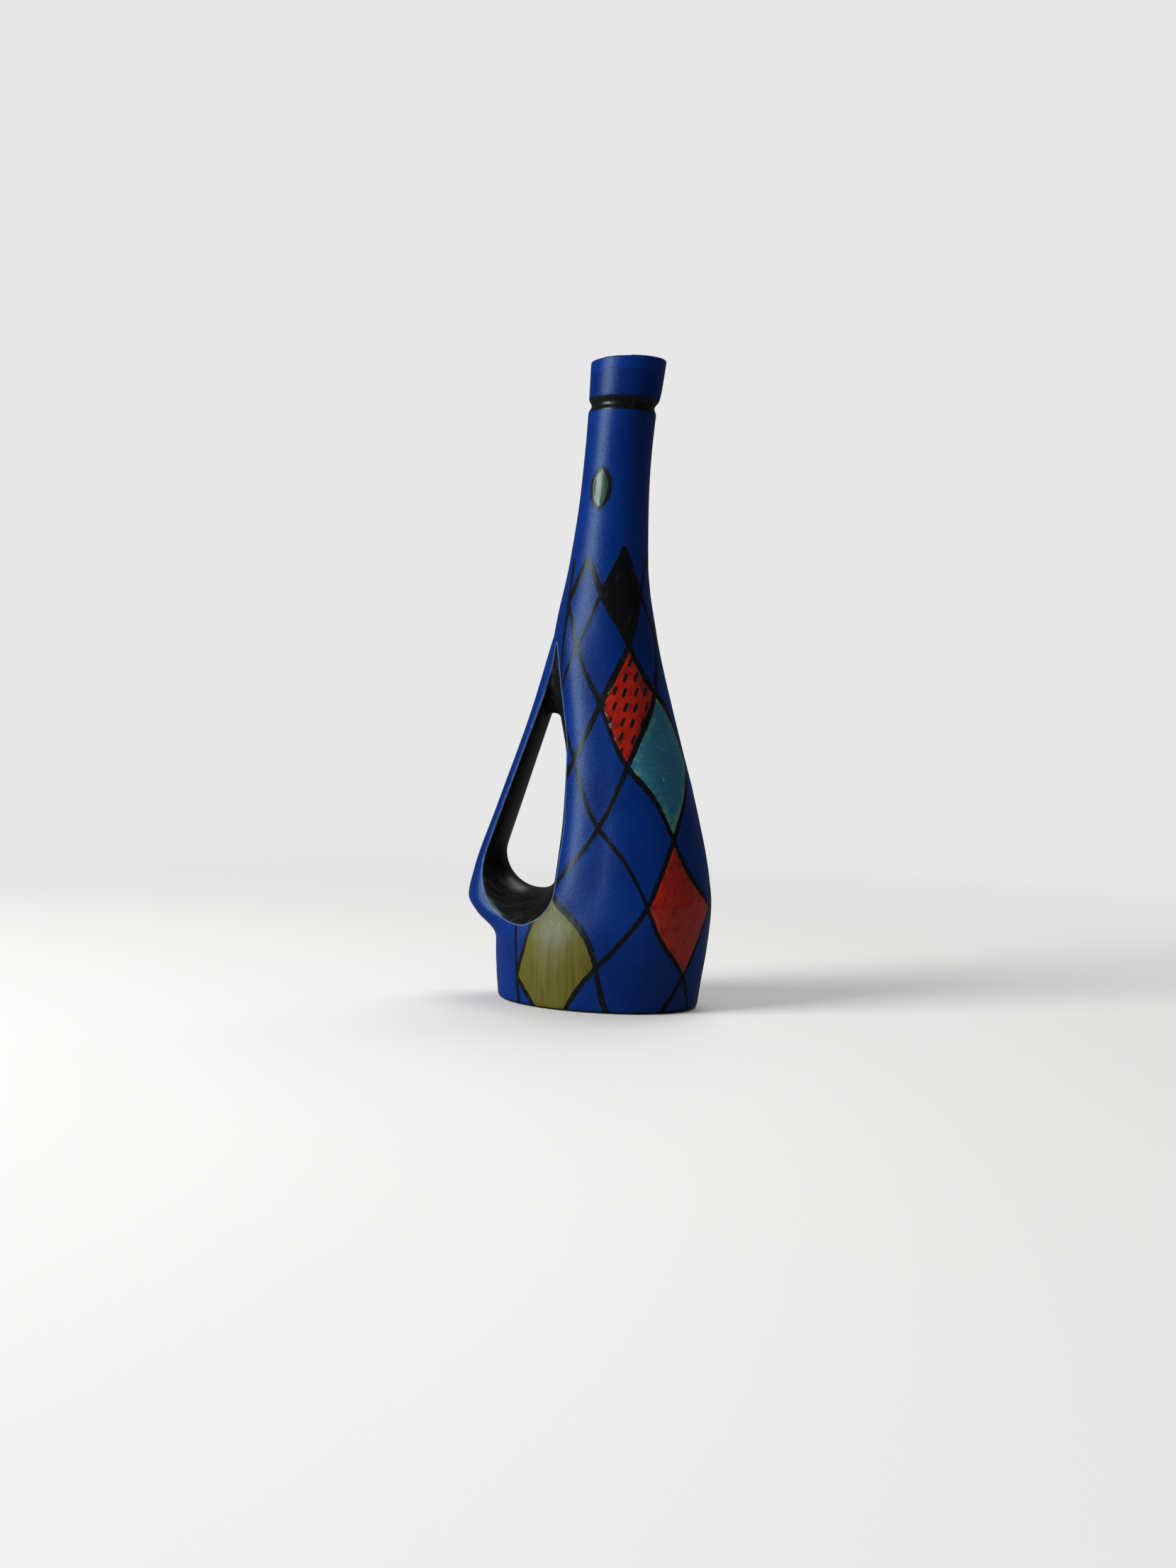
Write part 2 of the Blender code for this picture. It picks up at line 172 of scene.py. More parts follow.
# The rows' levels follow the length round the jug, averaged over about this many millimetres
LENGTH_SPREAD = 18
LEAST_ROW_SLOPE = 0.01
# Dashes: lean in radians, distances in the row and between rows, half length and half width
DASH_LEAN = 0.6
DASH_PITCH_X, DASH_PITCH_Z = 5.4, 7.6
DASH_HALF_LENGTH, DASH_HALF_WIDTH = 2.0, 0.75
# How far whole rows and single dashes stray
DASH_ROW_STRAY, DASH_STRAY = 0.7, 0.5
# Distances kept where there is no line and no dash
FAR, NO_DASH = 99.0, 9.0
# How thick the glaze stands: red fields, other fields, lines
RED_THICKNESS, FIELD_THICKNESS, LINE_THICKNESS = 0.30, 0.12, 0.07

# Colours, linear
COBALT = (0.0007, 0.0187, 0.134)
COBALT_DARK = (0.00035, 0.0079, 0.066)
# Pale blue along the hole's arris: worn glaze and a painted highlight in one colour
COBALT_WORN_AND_HIGHLIGHT = (0.068, 0.096, 0.192)
INK = (0.0034, 0.0034, 0.0040)
INK_WORN = (0.045, 0.038, 0.032)
RED = (0.243, 0.0062, 0.0006)
RED_DARK = (0.136, 0.0034, 0.0003)
OLIVE = (0.088, 0.077, 0.0085)
OLIVE_DARK = (0.048, 0.040, 0.0040)
TEAL = (0.014, 0.094, 0.153)
TEAL_LIGHT = (0.062, 0.175, 0.108)
GREEN = (0.011, 0.034, 0.023)
GREEN_LIGHT = (0.085, 0.119, 0.051)
CHIP = (0.373, 0.340, 0.294)
BISCUIT = (0.420, 0.320, 0.230)
BISCUIT_DARK = tuple(0.72 * k for k in BISCUIT)
# Clear coat over the thick glazes, and in the groove
COATS = {"olive": 0.0, "teal": 0.28, "leaf": 0.28, "red": 0.79}
GROOVE_COAT = 0.17
COAT_ROUGHNESS = 0.10
SPECULAR_LEVEL, SPECULAR_TINT = 0.19, (0.62, 0.86, 1.0)
# A field's mask is taken as its own between these values
MASK_EDGE = (0.4, 0.6)


def through(z, rows, column):
    """Monotone cubic through one column of a table, at an array of heights."""
    xs, ys = rows[:, 0], rows[:, column]
    widths = np.diff(xs)
    slopes = np.diff(ys) / widths
    tangents = np.zeros(len(xs))
    for k in range(1, len(slopes)):
        if slopes[k - 1] * slopes[k] > 0:
            wide, narrow = 2 * widths[k] + widths[k - 1], widths[k] + 2 * widths[k - 1]
            tangents[k] = (wide + narrow) / (wide / slopes[k - 1] + narrow / slopes[k])
    tangents[0], tangents[-1] = slopes[0], slopes[-1]
    z = np.clip(z, xs[0], xs[-1])
    k = np.clip(np.searchsorted(xs, z, side="right") - 1, 0, len(widths) - 1)
    t = (z - xs[k]) / widths[k]
    return (
        (1 + 2 * t) * (1 - t) ** 2 * ys[k]
        + t * (1 - t) ** 2 * widths[k] * tangents[k]
        + t * t * (3 - 2 * t) * ys[k + 1]
        + t * t * (t - 1) * widths[k] * tangents[k + 1]
    )


def half_ellipse(distance, reach):
    """Share of its height that a half ellipse has at a distance from its middle."""
    return np.sqrt(np.clip(1.0 - (distance / reach) ** 2, 0.0, None))


def has_blade(z):
    return (z > BLADE[0, 0]) & (z < BLADE[-1, 0])


def half_depth(x, z, inset=0.0):
    """Half depth of the outer form: the oval and the blade behind it, blended."""
    x, z = np.broadcast_arrays(np.asarray(x, float), np.asarray(z, float))
    back, front, middle, deepest = [through(z, SECTIONS, k) for k in (1, 2, 3, 4)]
    reach = np.where(x > middle, front - middle, middle - back)
    oval = (deepest - inset) * half_ellipse(x - middle, reach - inset)
    outer, nose, deep = [through(z, BLADE, k) for k in (1, 2, 3)]
    thickest = outer + nose
    behind = half_ellipse(x - thickest, nose - inset)
    ahead = half_ellipse(x - thickest, np.maximum(middle - thickest, nose))
    blade = np.clip(deep - inset, 0.0, None) * np.where(x < thickest, behind, ahead)
    blade = np.where(has_blade(z), blade, 0.0)
    return (oval**BLEND_POWER + blade**BLEND_POWER) ** (1 / BLEND_POWER)


def form_ends(z):
    """Back and front ends of the form at a height."""
    back, front = through(z, SECTIONS, 1), through(z, SECTIONS, 2)
    return np.where(has_blade(z), np.minimum(back, through(z, BLADE, 1)), back), front


def box_centre():
    """Middle of the whole length, which the origin stands under."""
    back, front = form_ends(np.arange(0.0, HEIGHT + 0.1, 0.5))
    return (back.min() + front.max()) / 2


CENTRE = box_centre()


def form_ring(z, inset=0.0, lift=0.0):
    """One closed section of the form as points. The lift tilts it up in front."""
    back, front = form_ends(np.asarray(z))
    back, front = back + inset, front - inset
    angle = np.arange(AROUND) * 2 * math.pi / AROUND
    x = (back + front) / 2 + (front - back) / 2 * np.cos(angle)
    y = half_depth(x, z, inset) * np.sign(np.sin(angle).round(9))
    return np.stack([x, y, z + lift * np.cos(angle)], axis=1)


def hollow_ring(z, lift=0.0, inset=0.0):
    """One section of the hollow, a wall inside the form and in front of the grip hole."""
    rows = np.array((
        (8.0, -48.1),
        (28.0, -40.0),
        (52.0, -22.5),
        (67.0, THROAT[2][0] + WALL),
        (100.0, THROAT[3][0] + WALL),
        (146.0, -15.8),
        (187.0, -20.8),
        (HOLLOW_JOINS_BACK, float(through(HOLLOW_JOINS_BACK, SECTIONS, 1)) + WALL),
    ))
    back = through(z, rows, 1) if z < HOLLOW_JOINS_BACK else through(z, SECTIONS, 1) + WALL
    front = through(z, SECTIONS, 2) - WALL
    angle = np.arange(HOLLOW_AROUND) * 2 * math.pi / HOLLOW_AROUND
    x = (back + front) / 2 + ((front - back) / 2 - inset) * np.cos(angle)
    y = (through(z, SECTIONS, 4) - WALL - inset) * np.sin(angle)
    return np.stack([x, y, z + lift * np.cos(angle)], axis=1)


def groove_inset(z):
    """How deep the rounded groove under the collar lies at a height."""
    away = np.clip(abs(z - GROOVE_LEVEL) / GROOVE_HALF_WIDTH, 0.0, 1.0)
    return GROOVE_DEPTH * (0.5 + 0.5 * math.cos(math.pi * away))


def rounded_outline(corners, count):
    """Closed outline through rounded corners, as evenly spaced points from the first corner on."""
    arc_points = 13
    dense = []
    for k, (x, z, radius) in enumerate(corners):
        here = np.array((x, z))
        to_last = np.array(corners[k - 1][:2]) - here
        to_next = np.array(corners[(k + 1) % len(corners)][:2]) - here
        to_last /= np.linalg.norm(to_last)
        to_next /= np.linalg.norm(to_next)
        half = math.acos(float(np.clip(to_last @ to_next, -1, 1))) / 2
        middle = (to_last + to_next) / np.linalg.norm(to_last + to_next)
        centre = here + middle * radius / math.sin(half)
        start = here + to_last * radius / math.tan(half) - centre
        side = math.copysign(1.0, to_last[0] * to_next[1] - to_last[1] * to_next[0])
        for step in np.linspace(0, -side * (math.pi - 2 * half), arc_points):
            c, s = math.cos(step), math.sin(step)
            dense.append(centre + (start[0] * c - start[1] * s, start[0] * s + start[1] * c))
    dense = dense[arc_points // 2:] + dense[:arc_points // 2]
    dense = np.array(dense + dense[:1])
    lengths = np.concatenate([[0], np.cumsum(np.linalg.norm(np.diff(dense, axis=0), axis=1))])
    wanted = np.linspace(0, lengths[-1], count, endpoint=False)
    return np.stack([np.interp(wanted, lengths, dense[:, k]) for k in (0, 1)], axis=1)


def loft(name, rings):
    """Capped skin over rings of equal count, given in millimetres in the form's own frame."""
    count = len(rings[0])
    points = (np.concatenate(rings) - (CENTRE, 0.0, 0.0)) * MM
    low = np.arange(len(rings) - 1)[:, None] * count + np.arange(count)[None, :]
    low_next = np.roll(low, -1, axis=1)
    quads = np.stack([low, low_next, low_next + count, low + count], axis=2).reshape(-1, 4)
    last = len(points) - count
    caps = [list(range(count))[::-1], list(range(last, len(points)))]
    mesh = bpy.data.meshes.new(name)
    mesh.from_pydata(points.tolist(), [], quads.tolist() + caps)
    work = bmesh.new()
    work.from_mesh(mesh)
    bmesh.ops.remove_doubles(work, verts=work.verts, dist=1e-7)
    bmesh.ops.recalc_face_normals(work, faces=work.faces)
    if work.calc_volume(signed=True) < 0:
        bmesh.ops.reverse_faces(work, faces=work.faces)
    work.to_mesh(mesh)
    work.free()
    obj = bpy.data.objects.new(name, mesh)
    bpy.context.scene.collection.objects.link(obj)
    return obj


def apply_modifiers(obj):
    """Replaces the mesh by what its modifiers make of it."""
    graph = bpy.context.evaluated_depsgraph_get()
    mesh = bpy.data.meshes.new_from_object(obj.evaluated_get(graph))
    obj.modifiers.clear()
    obj.data = mesh


def cut(obj, cutter):
    """Takes a cutter away from the object and deletes the cutter."""
    modifier = obj.modifiers.new("cut", "BOOLEAN")
    modifier.operation = "DIFFERENCE"
    modifier.solver = "EXACT"
    modifier.object = cutter
    apply_modifiers(obj)
    bpy.data.objects.remove(cutter, do_unlink=True)


def grip_hole():
    """Flared cutter: a small throat in the mid-plane that opens to a wide outline each side."""
    count, steps, past_face, beyond = 220, 14, 1.0, 60.0
    throat, face = rounded_outline(THROAT, count), rounded_outline(FACE, count)
    reach = half_depth(face[:, 0], face[:, 1]) + past_face
    rings = []
    for share in np.linspace(-1.0, 1.0, 2 * steps + 1):
        flat = throat + (face - throat) * abs(share) ** FLARE_POWER
        rings.append(np.stack([flat[:, 0], share * reach, flat[:, 1]], axis=1))
    for side, place in ((-1.0, 0), (1.0, len(rings) + 1)):
        end = np.stack([face[:, 0], np.full(count, side * beyond), face[:, 1]], axis=1)
        rings.insert(place, end)
    return loft("grip_hole_cutter", rings)


def outer_solid():
    """The jug from foot to rim as one solid, with its grip hole and mouth."""
    rings = [
        form_ring(FOOT_RECESS, FOOT_RIM_WIDTH + FOOT_RIM_SLANT),
        form_ring(0.0, FOOT_RIM_WIDTH),
        form_ring(0.0, FOOT_ROUNDING),
    ]
    for turn in FOOT_TURNS:
        c, s = math.cos(math.radians(turn)), math.sin(math.radians(turn))
        rings.append(form_ring(FOOT_ROUNDING * (1 - c), FOOT_ROUNDING * (1 - s)))
    for z in np.arange(FOOT_ROUNDING, HEIGHT, RING_STEP):
        lift = LIP_RISE * max(0.0, (z - GROOVE_LEVEL) / (HEIGHT - GROOVE_LEVEL))
        rings.append(form_ring(z, groove_inset(z), lift))
    rings.append(form_ring(HEIGHT, 0.0, LIP_RISE))
    solid = loft("jug_skin", rings)
    cut(solid, grip_hole())
    depths = np.linspace(HEIGHT - MOUTH_DEPTH, HEIGHT + CUT_PAST_RIM, MOUTH_RINGS)
    cut(solid, loft("mouth_cutter", [hollow_ring(z, LIP_RISE) for z in depths]))
    return solid


def even_out(obj):
    """Even quads all over, and arrises rounded as glaze rounds them."""
    remesh = obj.modifiers.new("even", "REMESH")
    remesh.mode = "VOXEL"
    remesh.voxel_size = VOXEL * MM
    apply_modifiers(obj)
    smooth = obj.modifiers.new("round", "SMOOTH")
    smooth.factor = SMOOTHING
    smooth.iterations = SMOOTHING_ROUNDS
    apply_modifiers(obj)


def vertex_array(mesh):
    """Points of a mesh in the form's own frame, in millimetres."""
    points = np.empty(len(mesh.vertices) * 3, np.float32)
    mesh.vertices.foreach_get("co", points)
    return points.reshape(-1, 3).astype(float) / MM + (CENTRE, 0.0, 0.0)


def store(mesh, name, values):
    """Keeps one number for each point of the mesh, for the materials."""
    layer = mesh.attributes.new(name, "FLOAT", "POINT")
    layer.data.foreach_set("value", np.asarray(values, np.float32))


def way_round(points):
    """Signed distance along the section from the front, and the length of half the section."""
    count = 181
    angle = np.linspace(0.0, math.pi, count)
    back, front = form_ends(LEVELS)
    x = ((back + front) / 2)[:, None] + ((front - back) / 2)[:, None] * np.cos(angle)[None, :]
    y = half_depth(x, LEVELS[:, None])
    steps = np.hypot(np.diff(x, axis=1), np.diff(y, axis=1))
    along = np.concatenate([np.zeros((len(LEVELS), 1)), np.cumsum(steps, axis=1)], axis=1)
    z = np.clip(points[:, 2], 0.0, HEIGHT)
    low = np.minimum(z.astype(int), len(LEVELS) - 2)
    share = z - low
    b, f = form_ends(z)
    turn = np.arccos(np.clip((points[:, 0] - (b + f) / 2) / ((f - b) / 2), -1.0, 1.0))
    place = np.clip(turn / math.pi * (count - 1), 0.0, count - 1.001)
    k = place.astype(int)
    t = place - k

    def at(level):
        return along[level, k] * (1 - t) + along[level, k + 1] * t

    distance = at(low) * (1 - share) + at(low + 1) * share
    half = along[low, -1] * (1 - share) + along[low + 1, -1] * share
    return distance * np.sign(points[:, 1]), half


def depth_below(points):
    """How far a point lies inside the outer form, measured square to its surface."""
    x, y, z = points.T
    step = 0.25
    h = half_depth(x, z)
    slope_x = (half_depth(x + step, z) - half_depth(x - step, z)) / (2 * step)
    slope_z = (half_depth(x, z + step) - half_depth(x, z - step)) / (2 * step)
    return (h - np.abs(y)) / np.sqrt(1.0 + slope_x**2 + slope_z**2)


def within_outline(points, outline):
    """How far each point lies inside a closed outline of the mid-plane, negative outside."""
    starts, ends = outline, np.roll(outline, -1, axis=0)
    runs = ends - starts
    least = np.full(len(points), np.inf)
    crossings = np.zeros(len(points), int)
    for start, run in zip(starts, runs):
        away = points - start
        share = np.clip(away @ run / (run @ run), 0.0, 1.0)
        least = np.minimum(least, np.hypot(*(away - share[:, None] * run).T))
        spans = (start[1] > points[:, 1]) != (start[1] + run[1] > points[:, 1])
        if spans.any():
            reach = start[0] + (points[:, 1] - start[1]) * run[0] / (run[1] or 1e-9)
            crossings += spans & (points[:, 0] < reach)
    return np.where(crossings % 2 == 1, least, -least)


def beyond_arris(points, depth):
    """Distance from the grip hole's arris: positive in the hole, negative on the outside."""
    distance = np.full(len(points), -ARRIS_REACH)
    low, high = FACE[2][1] - ARRIS_REACH, FACE[0][1] + ARRIS_REACH
    near = (points[:, 2] > low) & (points[:, 2] < high) & (points[:, 0] < FACE[5][0] + ARRIS_REACH)
    inside = within_outline(points[near][:, [0, 2]], rounded_outline(FACE, ARRIS_POINTS))
    deep = np.hypot(np.maximum(inside, 0.0), np.maximum(depth[near], 0.0))
    distance[near] = np.where((inside > 0) | (depth[near] > SURFACE_SLACK), deep, inside)
    return np.clip(distance, -ARRIS_REACH, ARRIS_DEPTH)


def smooth_step(share):
    """0 up to a share of 0, 1 from a share of 1, smooth between."""
    share = np.clip(share, 0.0, 1.0)
    return share * share * (3 - 2 * share)


def ridge(points, arris):
    """Height of the soft ridge, nothing behind the grip hole, in it and beyond its ends."""
    x, z = points[:, 0], points[:, 2]
    present = smooth_step((x - np.interp(z, *RIDGE_LINE)) / RIDGE_ONSET)
    present = present * smooth_step((z - RIDGE_LOW) / RIDGE_RISE)
    present = present * smooth_step((RIDGE_TOP - z) / RIDGE_FADE)
    rounding = np.clip(1.0 + arris / RIDGE_PEAK, 0.0, 1.0) ** 2
    run_out = smooth_step((RIDGE_END + arris) / (RIDGE_END - RIDGE_PEAK))
    return RIDGE_HEIGHT * present * (run_out - rounding)


def field_coordinates(points):
    """Pattern coordinates of each point, and what turns them into millimetres.

    Share of the way round, the same with the hand's drift, rows up from the foot, half the length
    round the jug, and rows a millimetre.
    """
    distance, z = way_round(points)[0], points[:, 2]
    nothing = np.zeros(len(LEVELS))
    lengths = way_round(np.stack([nothing, nothing, LEVELS], axis=1))[1]
    reach = 3 * LENGTH_SPREAD
    weights = np.exp(-0.5 * (np.arange(-reach, reach + 1) / LENGTH_SPREAD) ** 2)
    padded = np.pad(lengths, reach, mode="edge")
    smooth = np.convolve(padded, weights / weights.sum(), mode="valid")
    half = np.interp(z, LEVELS, smooth)
    share = distance / (2 * half)
    table = np.array([(level, k / 2) for k, level in enumerate(ROW_LEVELS)])
    slope = (table[-1, 1] - table[-2, 1]) / (table[-1, 0] - table[-2, 0])
    rows = through(z, table, 1) + np.clip(z - table[-1, 0], 0.0, None) * slope
    # Slow waves of an unsteady hand, along the rows and up
    round_turn = 2 * math.pi * share
    drift = 0.011 * np.sin(3 * round_turn + z / 29) + 0.006 * np.sin(5 * round_turn - z / 17 + 1.3)
    rise = 0.060 * np.sin(2 * round_turn + z / 41 + 0.6) + 0.035 * np.sin(4 * round_turn - z / 23)
    steps = np.gradient(through(LEVELS, table, 1), LEVELS)
    row_slope = np.interp(z, LEVELS, np.maximum(steps, LEAST_ROW_SLOPE))
    return share, share + drift, rows + rise, half, row_slope


def paint(obj):
    """Measures the painting at every point, raises glazes and ridge, and stores the measures."""
    points = vertex_array(obj.data)
    depth = depth_below(points)
    share, drifted, rows, half, row_slope = field_coordinates(points)
    along, z = share * 2 * half, points[:, 2]

    # Two families of slanting lines cross in the pattern's rows
    rising, falling = FIELDS_AROUND * drifted + rows, FIELDS_AROUND * drifted - rows
    steepness = np.hypot(FIELDS_AROUND / (2 * half), row_slope)
    line = np.minimum(abs(rising - rising.round()), abs(falling - falling.round())) / steepness
    top_row = (len(ROW_LEVELS) - 1) / 2
    line += np.clip(rows - top_row, 0.0, None) / row_slope
    border = (abs(drifted) - PLAIN_FROM / (2 * FIELDS_AROUND)) * 2 * half
    has_pattern = (border < 0) & (rows < top_row)
    line = np.where(border < 0, line, FAR)
    line = np.minimum(line, np.where(rows < top_row, abs(border), FAR))

    i, j = np.floor(rising), np.floor(falling)
    row, column = i - j, i + j + 1
    masks = {}
    for name, places in FIELDS.items():
        mask = np.zeros(len(points), bool)
        for r, c in places:
            mask |= (row == r) & (column == c)
        masks[name] = (mask & has_pattern).astype(float)

    # Leaves on the neck, each between two arcs
    leaves = np.zeros(len(points))
    radius = (LEAF_HALF_HEIGHT**2 + LEAF_HALF_WIDTH**2) / (2 * LEAF_HALF_WIDTH)
    for level, place in LEAVES:
        across = abs(along - place * 2 * half) + radius - LEAF_HALF_WIDTH
        leaf = np.hypot(across, z - level) - radius
        line = np.minimum(line, abs(leaf) + LEAF_LINE_THINNER)
        leaves = np.maximum(leaves, (leaf < 0).astype(float))

    # Short slanting dashes in staggered, uneven rows
    stagger = np.round(z / DASH_PITCH_Z)
    x = along + stagger * DASH_PITCH_X / 2 + DASH_ROW_STRAY * np.sin(stagger * 2.1)
    place = np.round(x / DASH_PITCH_X)
    local_x = x - place * DASH_PITCH_X + DASH_STRAY * np.sin(place * 3.7 + stagger)
    local_z = z - stagger * DASH_PITCH_Z + DASH_STRAY * np.sin(place * 2.3 - stagger * 1.7)
    c, s = math.cos(DASH_LEAN), math.sin(DASH_LEAN)
    lengthwise, across = local_x * s + local_z * c, local_x * c - local_z * s
    past_end = np.clip(abs(lengthwise) - DASH_HALF_LENGTH, 0.0, None)
    dash = np.hypot(across, past_end) - DASH_HALF_WIDTH
    dash = np.where(masks["red_dashed"] > 0.5, dash, NO_DASH)

    # Thick glaze swells up away from the lines, and none of it reaches into the hole
    red = np.maximum(masks["red"], masks["red_dashed"])
    inside = smooth_step((line - 0.7) / 2.2)
    on_surface = 1.0 - np.clip((depth - 0.4) / 0.6, 0.0, 1.0)
    relief = RED_THICKNESS * red + FIELD_THICKNESS * (masks["olive"] + masks["teal"] + leaves)
    on_line = 1.0 - smooth_step((line - 0.8) / 1.4)
    relief = (relief * inside + LINE_THICKNESS * on_line) * on_surface
    arris = beyond_arris(points, depth)
    relief += ridge(points, arris)
    normals = np.empty(len(obj.data.vertices) * 3, np.float32)
    obj.data.vertices.foreach_get("normal", normals)
    moved = points - (CENTRE, 0.0, 0.0) + normals.reshape(-1, 3) * relief[:, None]
    obj.data.vertices.foreach_set("co", (moved * MM).astype(np.float32).ravel())
    obj.data.update()

    store(obj.data, "line", np.minimum(line, 40.0))
    store(obj.data, "dash", dash)
    store(obj.data, "red", red)
    for name in ("olive", "teal", "ink"):
        store(obj.data, name, masks[name])
    store(obj.data, "leaf", leaves)
    store(obj.data, "depth", np.clip(depth, -2.0, 20.0))
    store(obj.data, "arris", arris)
    lift = LIP_RISE * np.clip((z - GROOVE_LEVEL) / (HEIGHT - GROOVE_LEVEL), 0.0, 1.0)
    tilt = np.clip((points[:, 0] - RIM_MIDDLE) / RIM_HALF_LENGTH, -1.0, 1.0)
    store(obj.data, "level", z - lift * tilt)


# ---------------------------------------------------------------- materials
class Shader:
    """A node material, built by small steps that each return an output socket."""

    def __init__(self, name):
        self.material = bpy.data.materials.new(name)
        self.material.use_nodes = True
        self.nodes = self.material.node_tree.nodes
        self.links = self.material.node_tree.links
        self.principled = self.nodes["Principled BSDF"]

    def node(self, kind, settings=None, **inputs):
        node = self.nodes.new(kind)
        for key, value in (settings or {}).items():
            setattr(node, key, value)
        for key, value in inputs.items():
            self.put(node.inputs[key.replace("_", " ")], value)
        return node

    def put(self, socket, value):
        if isinstance(value, bpy.types.NodeSocket):
            self.links.new(value, socket)
        elif isinstance(value, tuple) and socket.type == "RGBA":
            socket.default_value = (*value, 1.0)
        else:
            socket.default_value = value

    def attribute(self, name):
        return self.node("ShaderNodeAttribute", {"attribute_name": name}).outputs["Fac"]

    def math(self, operation, a, b=0.0, clamp=False):
        node = self.nodes.new("ShaderNodeMath")
        node.operation = operation
        node.use_clamp = clamp
        self.put(node.inputs[0], a)
        self.put(node.inputs[1], b)
        return node.outputs[0]

    def times(self, a, b):
        return self.math("MULTIPLY", a, b)

    def plus(self, a, b):
        return self.math("ADD", a, b)

    def rise(self, value, low, high):
        """0 at low and 1 at high, smooth between. High may lie below low."""
        node = self.nodes.new("ShaderNodeMapRange")
        node.interpolation_type = "SMOOTHSTEP"
        self.put(node.inputs["Value"], value)
        flip = high < low
        node.inputs["From Min"].default_value = min(low, high)
        node.inputs["From Max"].default_value = max(low, high)
        node.inputs["To Min"].default_value = 1.0 if flip else 0.0
        node.inputs["To Max"].default_value = 0.0 if flip else 1.0
        return node.outputs[0]

    def mix(self, share, a, b):
        """Blend of two colours."""
        node = self.node("ShaderNodeMix", {"data_type": "RGBA"})
        for socket, value in zip((node.inputs[0], node.inputs[6], node.inputs[7]), (share, a, b)):
            self.put(socket, value)
        return node.outputs[2]

    def blend(self, share, a, b):
        """Blend of two numbers."""
        node = self.node("ShaderNodeMix", {"data_type": "FLOAT"})
        for socket, value in zip(node.inputs[:1] + node.inputs[2:4], (share, a, b)):
            self.put(socket, value)
        return node.outputs[0]

    def place(self, stretch=(1.0, 1.0, 1.0)):
        """Position on the object in millimetres, stretched along its axes."""
        coordinates = self.nodes.new("ShaderNodeTexCoord").outputs["Object"]
        mapping = self.node("ShaderNodeMapping", Vector=coordinates)
        mapping.inputs["Scale"].default_value = [k / MM for k in stretch]
        return mapping.outputs[0]

    def noise(self, vector, per_mm, detail, roughness=0.5):
        settings = {"Scale": per_mm, "Detail": detail, "Roughness": roughness}
        return self.node("ShaderNodeTexNoise", Vector=vector, **settings).outputs["Fac"]


